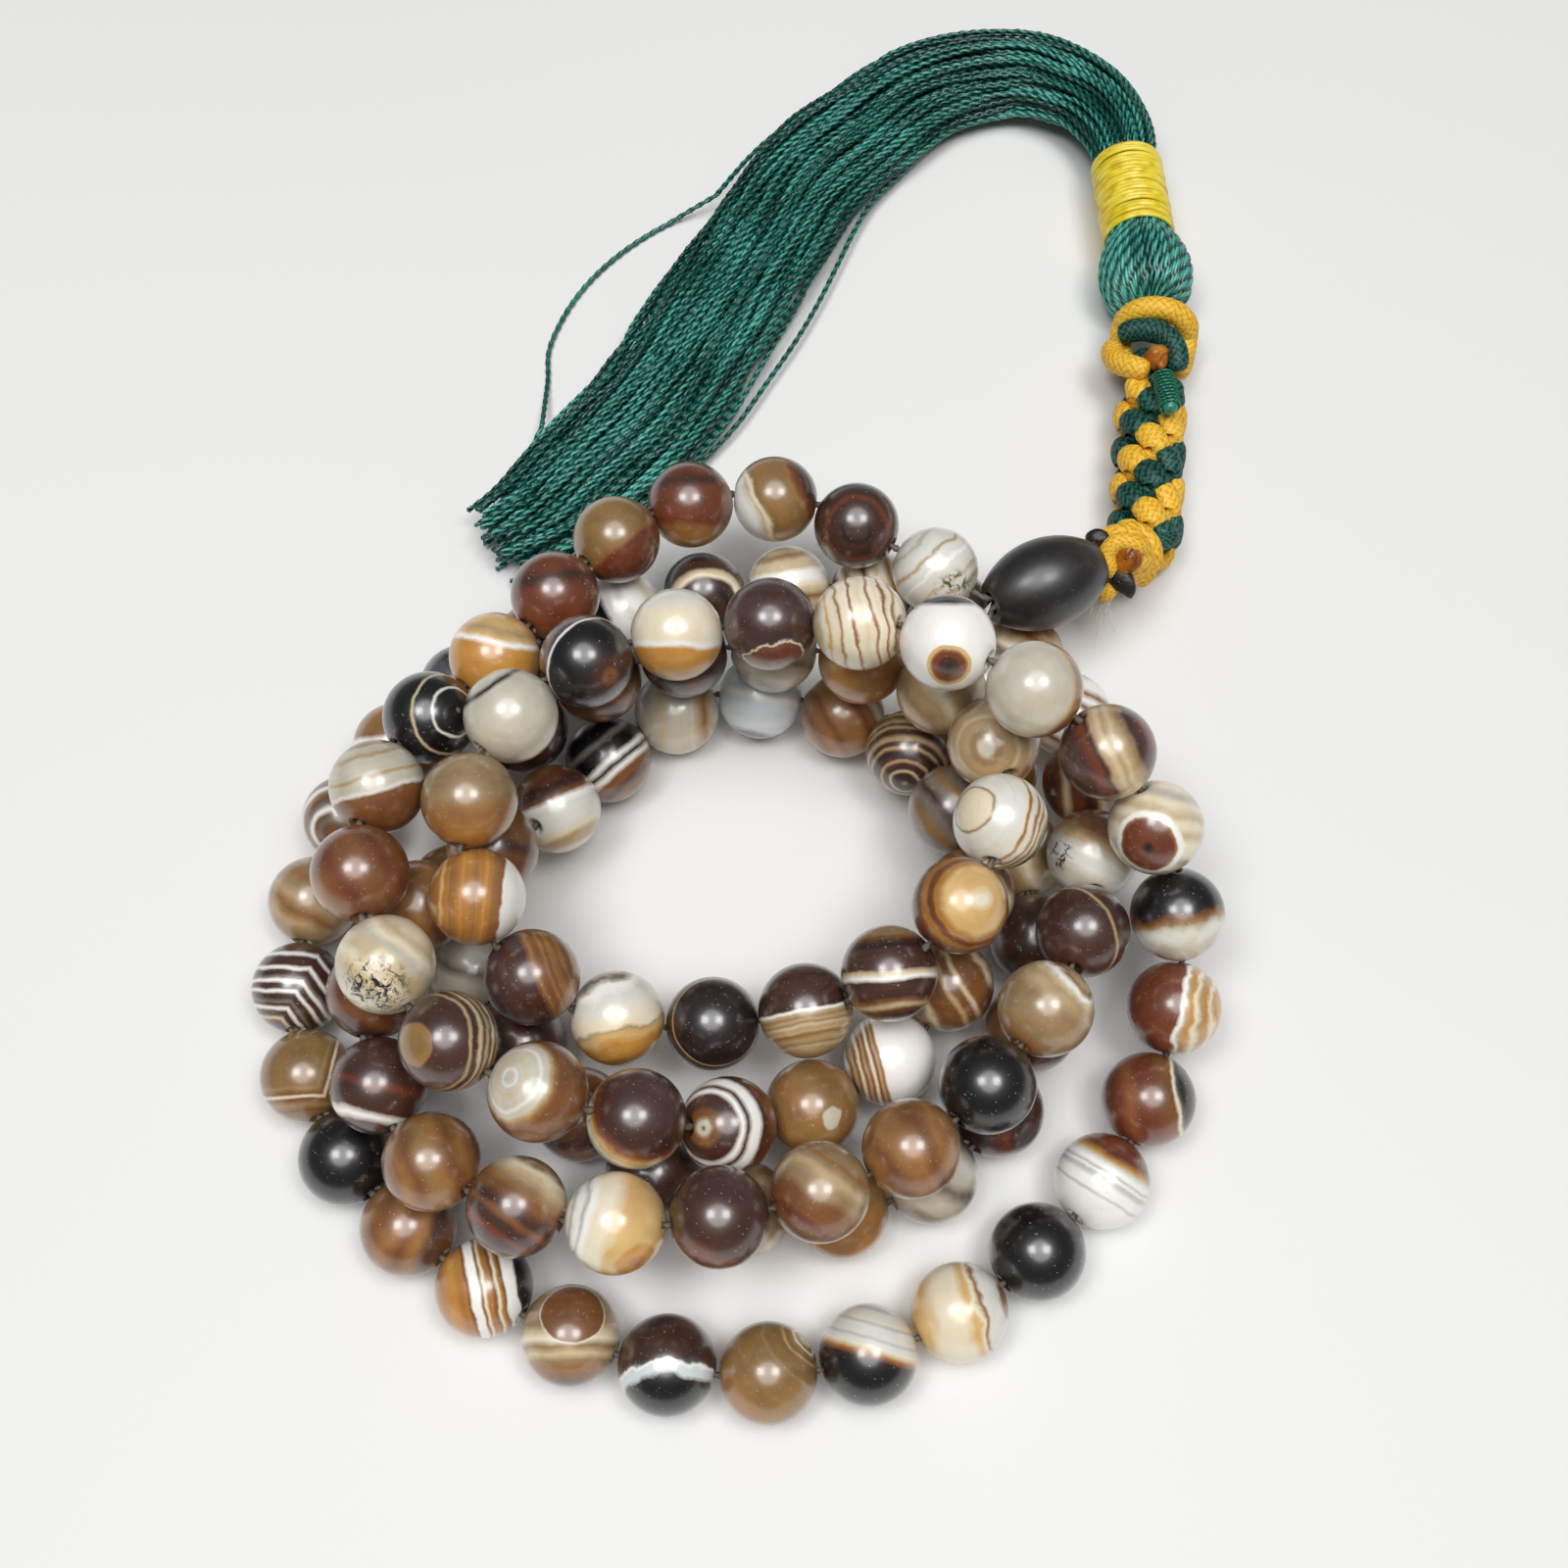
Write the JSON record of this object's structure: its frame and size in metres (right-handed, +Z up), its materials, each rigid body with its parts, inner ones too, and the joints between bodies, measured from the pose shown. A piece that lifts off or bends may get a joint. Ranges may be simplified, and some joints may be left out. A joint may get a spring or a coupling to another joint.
{
  "type": "mala prayer beads",
  "caption": "Mala of round banded agate beads on a string, laid in loose turns and closed by an oval black guru bead with a braided cord pendant and a long thread tassel.",
  "frame": {"origin": "middle of the coiled strand, on the surface that it lies on", "axes": "+Z up, +Y away from the viewer towards the tassel, +X to the viewer's right"},
  "size_m": [0.1128, 0.1928, 0.0366],
  "materials": {
    "agate": "satin polish, banded brown, cream and black",
    "guru_stone": "satin black",
    "string": "waxed white string",
    "yellow_cord": "round braided nylon",
    "green_cord": "round braided nylon",
    "singed_cord": "melted nylon",
    "green_thread": "twisted shiny thread",
    "yellow_thread": "shiny thread"
  },
  "bodies": {
    "strand": {"beads_001_012": "agate", "beads_013_022": "agate", "beads_057_069": "agate", "beads_070_080": "agate", "beads_081_091": "agate", "beads_092_108": "agate", "string_cord": "string"},
    "guru": {"guru_bead": "guru_stone"},
    "pendant": {"core_cord": "yellow_cord", "lower_knot": "yellow_cord", "braid_green_a": "green_cord", "braid_green_b": "green_cord", "braid_yellow_a": "yellow_cord", "braid_yellow_b": "yellow_cord", "knot_heart": "green_cord", "neck_collar": "yellow_cord", "green_arc": "green_cord", "side_bight": "yellow_cord", "singed_end": "singed_cord", "whipped_stub": "green_cord"},
    "tassel": {"tassel_head": "green_thread", "tassel_wrap": "yellow_thread", "tassel_skirt": "green_thread", "stray_thread": "green_thread"},
    "bead_023_body": {"bead_023": "agate"},
    "bead_024_body": {"bead_024": "agate"},
    "bead_025_body": {"bead_025": "agate"},
    "bead_026_body": {"bead_026": "agate"},
    "bead_027_body": {"bead_027": "agate"},
    "bead_028_body": {"bead_028": "agate"},
    "bead_029_body": {"bead_029": "agate"},
    "bead_030_body": {"bead_030": "agate"},
    "bead_031_body": {"bead_031": "agate"},
    "bead_032_body": {"bead_032": "agate"},
    "bead_033_body": {"bead_033": "agate"},
    "bead_034_body": {"bead_034": "agate"},
    "bead_035_body": {"bead_035": "agate"},
    "bead_036_body": {"bead_036": "agate"},
    "bead_037_body": {"bead_037": "agate"},
    "bead_038_body": {"bead_038": "agate"},
    "bead_039_body": {"bead_039": "agate"},
    "bead_040_body": {"bead_040": "agate"},
    "bead_041_body": {"bead_041": "agate"},
    "bead_042_body": {"bead_042": "agate"},
    "bead_043_body": {"bead_043": "agate"},
    "bead_044_body": {"bead_044": "agate"},
    "bead_045_body": {"bead_045": "agate"},
    "bead_046_body": {"bead_046": "agate"},
    "bead_047_body": {"bead_047": "agate"},
    "bead_048_body": {"bead_048": "agate"},
    "bead_049_body": {"bead_049": "agate"},
    "bead_050_body": {"bead_050": "agate"},
    "bead_051_body": {"bead_051": "agate"},
    "bead_052_body": {"bead_052": "agate"},
    "bead_053_body": {"bead_053": "agate"},
    "bead_054_body": {"bead_054": "agate"},
    "bead_055_body": {"bead_055": "agate"},
    "bead_056_body": {"bead_056": "agate"}
  },
  "joints": [
    {"name": "guru_spin", "type": "hinge", "parent": "strand", "child": "guru", "pos_m": [0.03544, 0.03873, 0.0144], "axis": [0.9207, 0.3903, 0], "continuous": true},
    {"name": "pendant_lift", "type": "hinge", "parent": "strand", "child": "pendant", "pos_m": [0.04189, 0.04146, 0.0144], "axis": [0.9925, -0.1219, 0], "range_deg": [0, 45]},
    {"name": "tassel_swing", "type": "hinge", "parent": "pendant", "child": "tassel", "pos_m": [0.05377, 0.08284, 0.0061], "axis": [0, 0, 1], "range_deg": [-25, 0]},
    {"name": "bead_023_spin", "type": "hinge", "parent": "strand", "child": "bead_023_body", "pos_m": [0.02756, 0.00471, 0.02261], "axis": [-0.2512, -0.966, 0.0617], "continuous": true},
    {"name": "bead_024_spin", "type": "hinge", "parent": "strand", "child": "bead_024_body", "pos_m": [0.023, -0.00425, 0.02158], "axis": [-0.6192, -0.7416, -0.2581], "continuous": true},
    {"name": "bead_025_spin", "type": "hinge", "parent": "strand", "child": "bead_025_body", "pos_m": [0.01585, -0.01018, 0.01749], "axis": [-0.7531, -0.3932, -0.5275], "continuous": true},
    {"name": "bead_026_spin", "type": "hinge", "parent": "strand", "child": "bead_026_body", "pos_m": [0.00727, -0.01257, 0.01253], "axis": [-0.9011, -0.0668, -0.4285], "continuous": true},
    {"name": "bead_027_spin", "type": "hinge", "parent": "strand", "child": "bead_027_body", "pos_m": [-0.00257, -0.01325, 0.01006], "axis": [-0.9967, -0.0657, -0.0485], "continuous": true},
    {"name": "bead_028_spin", "type": "hinge", "parent": "strand", "child": "bead_028_body", "pos_m": [-0.0126, -0.01312, 0.01165], "axis": [-0.9317, 0.0901, 0.3519], "continuous": true},
    {"name": "bead_029_spin", "type": "hinge", "parent": "strand", "child": "bead_029_body", "pos_m": [-0.02116, -0.01013, 0.0162], "axis": [-0.7058, 0.482, 0.5192], "continuous": true},
    {"name": "bead_030_spin", "type": "hinge", "parent": "strand", "child": "bead_030_body", "pos_m": [-0.02661, -0.00317, 0.02111], "axis": [-0.3352, 0.8447, 0.4173], "continuous": true},
    {"name": "bead_031_spin", "type": "hinge", "parent": "strand", "child": "bead_031_body", "pos_m": [-0.02763, 0.00637, 0.0243], "axis": [0.1424, 0.9714, 0.1899], "continuous": true},
    {"name": "bead_032_spin", "type": "hinge", "parent": "strand", "child": "bead_032_body", "pos_m": [-0.02379, 0.01568, 0.0253], "axis": [0.5914, 0.8064, 0.001], "continuous": true},
    {"name": "bead_033_spin", "type": "hinge", "parent": "strand", "child": "bead_033_body", "pos_m": [-0.01619, 0.02241, 0.02496], "axis": [0.8714, 0.4859, -0.0677], "continuous": true},
    {"name": "bead_034_spin", "type": "hinge", "parent": "strand", "child": "bead_034_body", "pos_m": [-0.00662, 0.02594, 0.0246], "axis": [0.9805, 0.1967, -0.0006], "continuous": true},
    {"name": "bead_035_spin", "type": "hinge", "parent": "strand", "child": "bead_035_body", "pos_m": [0.0035, 0.02669, 0.02559], "axis": [0.9799, -0.0526, 0.1923], "continuous": true},
    {"name": "bead_036_spin", "type": "hinge", "parent": "strand", "child": "bead_036_body", "pos_m": [0.01304, 0.02496, 0.02871], "axis": [0.8666, -0.2818, 0.4118], "continuous": true},
    {"name": "bead_037_spin", "type": "hinge", "parent": "strand", "child": "bead_037_body", "pos_m": [0.02193, 0.02092, 0.03161], "axis": [0.8543, -0.4983, 0.148], "continuous": true},
    {"name": "bead_038_spin", "type": "hinge", "parent": "strand", "child": "bead_038_body", "pos_m": [0.03064, 0.01568, 0.0312], "axis": [0.8269, -0.5149, -0.2262], "continuous": true},
    {"name": "bead_039_spin", "type": "hinge", "parent": "strand", "child": "bead_039_body", "pos_m": [0.03841, 0.0105, 0.02716], "axis": [0.6744, -0.4862, -0.5557], "continuous": true},
    {"name": "bead_040_spin", "type": "hinge", "parent": "strand", "child": "bead_040_body", "pos_m": [0.04404, 0.0048, 0.02085], "axis": [0.4171, -0.6167, -0.6676], "continuous": true},
    {"name": "bead_041_spin", "type": "hinge", "parent": "strand", "child": "bead_041_body", "pos_m": [0.04696, -0.00244, 0.01429], "axis": [0.1472, -0.7853, -0.6013], "continuous": true},
    {"name": "bead_042_spin", "type": "hinge", "parent": "strand", "child": "bead_042_body", "pos_m": [0.04688, -0.01109, 0.00894], "axis": [-0.1622, -0.8868, -0.4328], "continuous": true},
    {"name": "bead_043_spin", "type": "hinge", "parent": "strand", "child": "bead_043_body", "pos_m": [0.04388, -0.0203, 0.00584], "axis": [-0.4168, -0.8935, -0.167], "continuous": true},
    {"name": "bead_044_spin", "type": "hinge", "parent": "strand", "child": "bead_044_body", "pos_m": [0.03837, -0.02884, 0.00505], "axis": [-0.6514, -0.7586, 0.0148], "continuous": true},
    {"name": "bead_045_spin", "type": "hinge", "parent": "strand", "child": "bead_045_body", "pos_m": [0.03114, -0.03614, 0.00514], "axis": [-0.7516, -0.6596, 0.003], "continuous": true},
    {"name": "bead_046_spin", "type": "hinge", "parent": "strand", "child": "bead_046_body", "pos_m": [0.02284, -0.04217, 0.00511], "axis": [-0.8599, -0.5105, -0.0085], "continuous": true},
    {"name": "bead_047_spin", "type": "hinge", "parent": "strand", "child": "bead_047_body", "pos_m": [0.0135, -0.04632, 0.00506], "axis": [-0.955, -0.2967, -0.001], "continuous": true},
    {"name": "bead_048_spin", "type": "hinge", "parent": "strand", "child": "bead_048_body", "pos_m": [0.00344, -0.04808, 0.00506], "axis": [-0.999, -0.0439, 0.0002], "continuous": true},
    {"name": "bead_049_spin", "type": "hinge", "parent": "strand", "child": "bead_049_body", "pos_m": [-0.00676, -0.04732, 0.00506], "axis": [-0.9815, 0.1912, 0], "continuous": true},
    {"name": "bead_050_spin", "type": "hinge", "parent": "strand", "child": "bead_050_body", "pos_m": [-0.0166, -0.04443, 0.00506], "axis": [-0.9292, 0.3695, 0], "continuous": true},
    {"name": "bead_051_spin", "type": "hinge", "parent": "strand", "child": "bead_051_body", "pos_m": [-0.0257, -0.03972, 0.00505], "axis": [-0.8385, 0.5449, -0.001], "continuous": true},
    {"name": "bead_052_spin", "type": "hinge", "parent": "strand", "child": "bead_052_body", "pos_m": [-0.03399, -0.03364, 0.00505], "axis": [-0.771, 0.6368, -0.0004], "continuous": true},
    {"name": "bead_053_spin", "type": "hinge", "parent": "strand", "child": "bead_053_body", "pos_m": [-0.0412, -0.02635, 0.00507], "axis": [-0.6281, 0.7781, 0.0046], "continuous": true},
    {"name": "bead_054_spin", "type": "hinge", "parent": "strand", "child": "bead_054_body", "pos_m": [-0.04631, -0.01752, 0.00511], "axis": [-0.3622, 0.9321, 0.0036], "continuous": true},
    {"name": "bead_055_spin", "type": "hinge", "parent": "strand", "child": "bead_055_body", "pos_m": [-0.04848, -0.00757, 0.00505], "axis": [-0.0595, 0.9981, -0.0153], "continuous": true},
    {"name": "bead_056_spin", "type": "hinge", "parent": "strand", "child": "bead_056_body", "pos_m": [-0.04789, 0.00265, 0.00521], "axis": [0.1742, 0.9836, 0.0469], "continuous": true}
  ]
}
